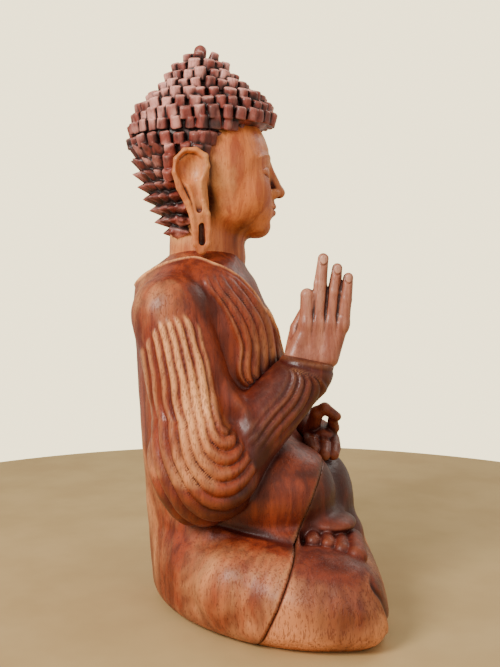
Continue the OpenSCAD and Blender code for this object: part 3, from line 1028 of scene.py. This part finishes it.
def ledge():
    """The space over the near leg, beside the lap, where the foot comes out."""
    def field(x, y, z):
        wall = (x + 0.4 * y + 122) / 1.08
        return np.maximum(np.maximum(wall, 85 - z), y + 48)

    return Shape(np.array([-220.0, -180, 70]), np.array([-40.0, -40, 220]), field)


# The tip of each toe as (x, y, height, radius)
TOES = [(-108, -61.5, 87, 8), (-113, -76, 86, 7.5), (-118, -89, 82, 8), (-123, -103, 77, 11)]


def lap_clay():
    clay = Clay((-KNEE, FRONT, 0), (KNEE, -2, 200), 1.4)
    clay.add(BODY)
    clay.cut(ledge(), 5)
    clay.cut(mirrored(ledge()), 5)
    add_legs(clay)
    clay.add(limb((140, -70, 46), 42, (-20, -94, 68), 29), 8)
    clay.add(ball((4, -84, 98), (50, 30, 56)), 10)
    clay.add(ball((-72, -82, 98), (31, 26, 10)), 13)
    for x, y, up, radius in TOES:
        clay.add(limb((-84, y, up + 5), radius, (x, y, up), radius), 1.5)
    clay.cut(half_space((0, SEAM_Y - SEAM_GAP, 0), (0, -1, -SEAM_SLOPE)), 1.2)
    clay.cut(half_space((0, 0, 0), (0, 0, 1)))
    return clay


def lap_relief(points, normals):
    x, y, z = points.T
    rise = 0.35 * mottle(points, 14, 81) + 0.15 * mottle(points, 6, 82)
    tone = 0.25 * mottle(points, (60, 60, 30), 83) - 0.15
    rough = smoothstep(34, 14, z)
    rise += 0.5 * rough * mottle(points, 3.5, 84)
    tone += 0.3 * rough + 0.55 * smoothstep(84, 62, z)
    # Darker above the knees; painted shade on the toes and in the recess round them.
    tone -= 0.35 * smoothstep(84, 100, z) + 0.4 * smoothstep(70, 78, z) * smoothstep(-50, -62, y)
    # A fold of the robe over the end of each knee
    past = (MID_Y - y) - through([4, 25, 48, 66], [133, 130, 122, 112], z)
    knee = smoothstep(90, 120, np.abs(x)) * smoothstep(72, 60, z)
    rise += knee * (1.4 * bell(past + 1, 1.8) - 2.2 * bell(past - 2.5, 2.0))
    # Painted shade in the groove behind the fold and on the robe past it.
    tone -= knee * (0.3 * smoothstep(0, 4, past) + 1.2 * bell(past - 2.5, 2.4))
    tone -= 3.0 * bell(from_seam(y, z), 1.2)
    return rise * smoothstep(0, 4, z), tone


# ---------------------------------------------------------------- the pieces

carve("carved_trunk", trunk_clay(), trunk_relief, "trunk_block", TRUNK_WOOD)
carve("carved_head", head_clay(), head_relief, "trunk_block", HEAD_WOOD)
carve("carved_hair", hair_clay(), hair_relief, "trunk_block", HAIR_WOOD, 0)
carve("carved_lap", lap_clay(), lap_relief, "lap_block", LAP_WOOD)
carve("carved_right_hand", right_hand_clay(), right_hand_relief, "right_hand", HAND_WOOD)
carve("carved_left_hand", left_hand_clay(), left_hand_relief, "left_hand", LAP_WOOD)
carve("carved_knob", knob_clay(), knob_relief, "crown_knob", HAIR_WOOD)

for piece in bpy.data.objects:
    if piece.name.startswith("seam_pegs"):
        piece.data.materials.clear()
        piece.data.materials.append(PEG_WOOD)


# ---------------------------------------------------------------- floor, light and camera

def add_floor():
    mesh = bpy.data.meshes.new("floor")
    radius = 0.8
    count = 160
    ring = [(radius * math.cos(2 * math.pi * k / count), radius * math.sin(2 * math.pi * k / count), 0.0)
            for k in range(count)]
    mesh.from_pydata(ring, [], [list(range(count))])
    mesh.materials.append(floor_finish())
    floor = bpy.data.objects.new("floor", mesh)
    bpy.context.scene.collection.objects.link(floor)
    floor.location.z = -0.0004


def add_area(name, place, aim, size, power, tint):
    light = bpy.data.lights.new(name, "AREA")
    light.shape = "DISK"
    light.size = size
    light.energy = power
    light.color = tint
    lamp = bpy.data.objects.new(name, light)
    lamp.location = place
    lamp.rotation_euler = (Vector(aim) - Vector(place)).to_track_quat("-Z", "Y").to_euler()
    bpy.context.scene.collection.objects.link(lamp)


def add_sky():
    """An even pale surround: brighter where the camera sees it than where it lights the figure."""
    world = bpy.data.worlds.new("studio")
    world.use_nodes = True
    tree = world.node_tree
    lit = tree.nodes["Background"]
    lit.inputs["Color"].default_value = colour(226, 222, 204)
    lit.inputs["Strength"].default_value = 0.85
    seen = tree.nodes.new("ShaderNodeBackground")
    seen.inputs["Color"].default_value = colour(242, 227, 184)
    seen.inputs["Strength"].default_value = 3.4
    path = tree.nodes.new("ShaderNodeLightPath")
    chosen = tree.nodes.new("ShaderNodeMixShader")
    tree.links.new(path.outputs["Is Camera Ray"], chosen.inputs[0])
    tree.links.new(lit.outputs[0], chosen.inputs[1])
    tree.links.new(seen.outputs[0], chosen.inputs[2])
    tree.links.new(chosen.outputs[0], tree.nodes["World Output"].inputs["Surface"])
    bpy.context.scene.world = world


def add_camera():
    """Looks at the figure's right side from a little above its middle, tilted slightly down."""
    tilt = 4.45
    camera = bpy.data.objects.new("camera", bpy.data.cameras.new("camera"))
    camera.data.lens = 49.0
    camera.data.sensor_width = 36.0
    camera.data.clip_end = 20.0
    camera.location = (-1.000, 0.0023, 0.3661)
    camera.rotation_euler = (math.radians(90 - tilt), 0, math.radians(-90))
    bpy.context.scene.collection.objects.link(camera)
    bpy.context.scene.camera = camera


SOFT_WHITE = (1.0, 0.96, 0.9)

add_floor()
add_sky()
add_area("key", (-1.2, 1.05, 1.25), (0, 0, 0.3), 0.7, 38, SOFT_WHITE)
add_area("fill", (-1.2, -0.9, 0.8), (0, 0, 0.25), 1.0, 3, SOFT_WHITE)
add_area("rim", (0.7, -0.8, 1.2), (0, 0, 0.35), 0.8, 5, SOFT_WHITE)
add_camera()
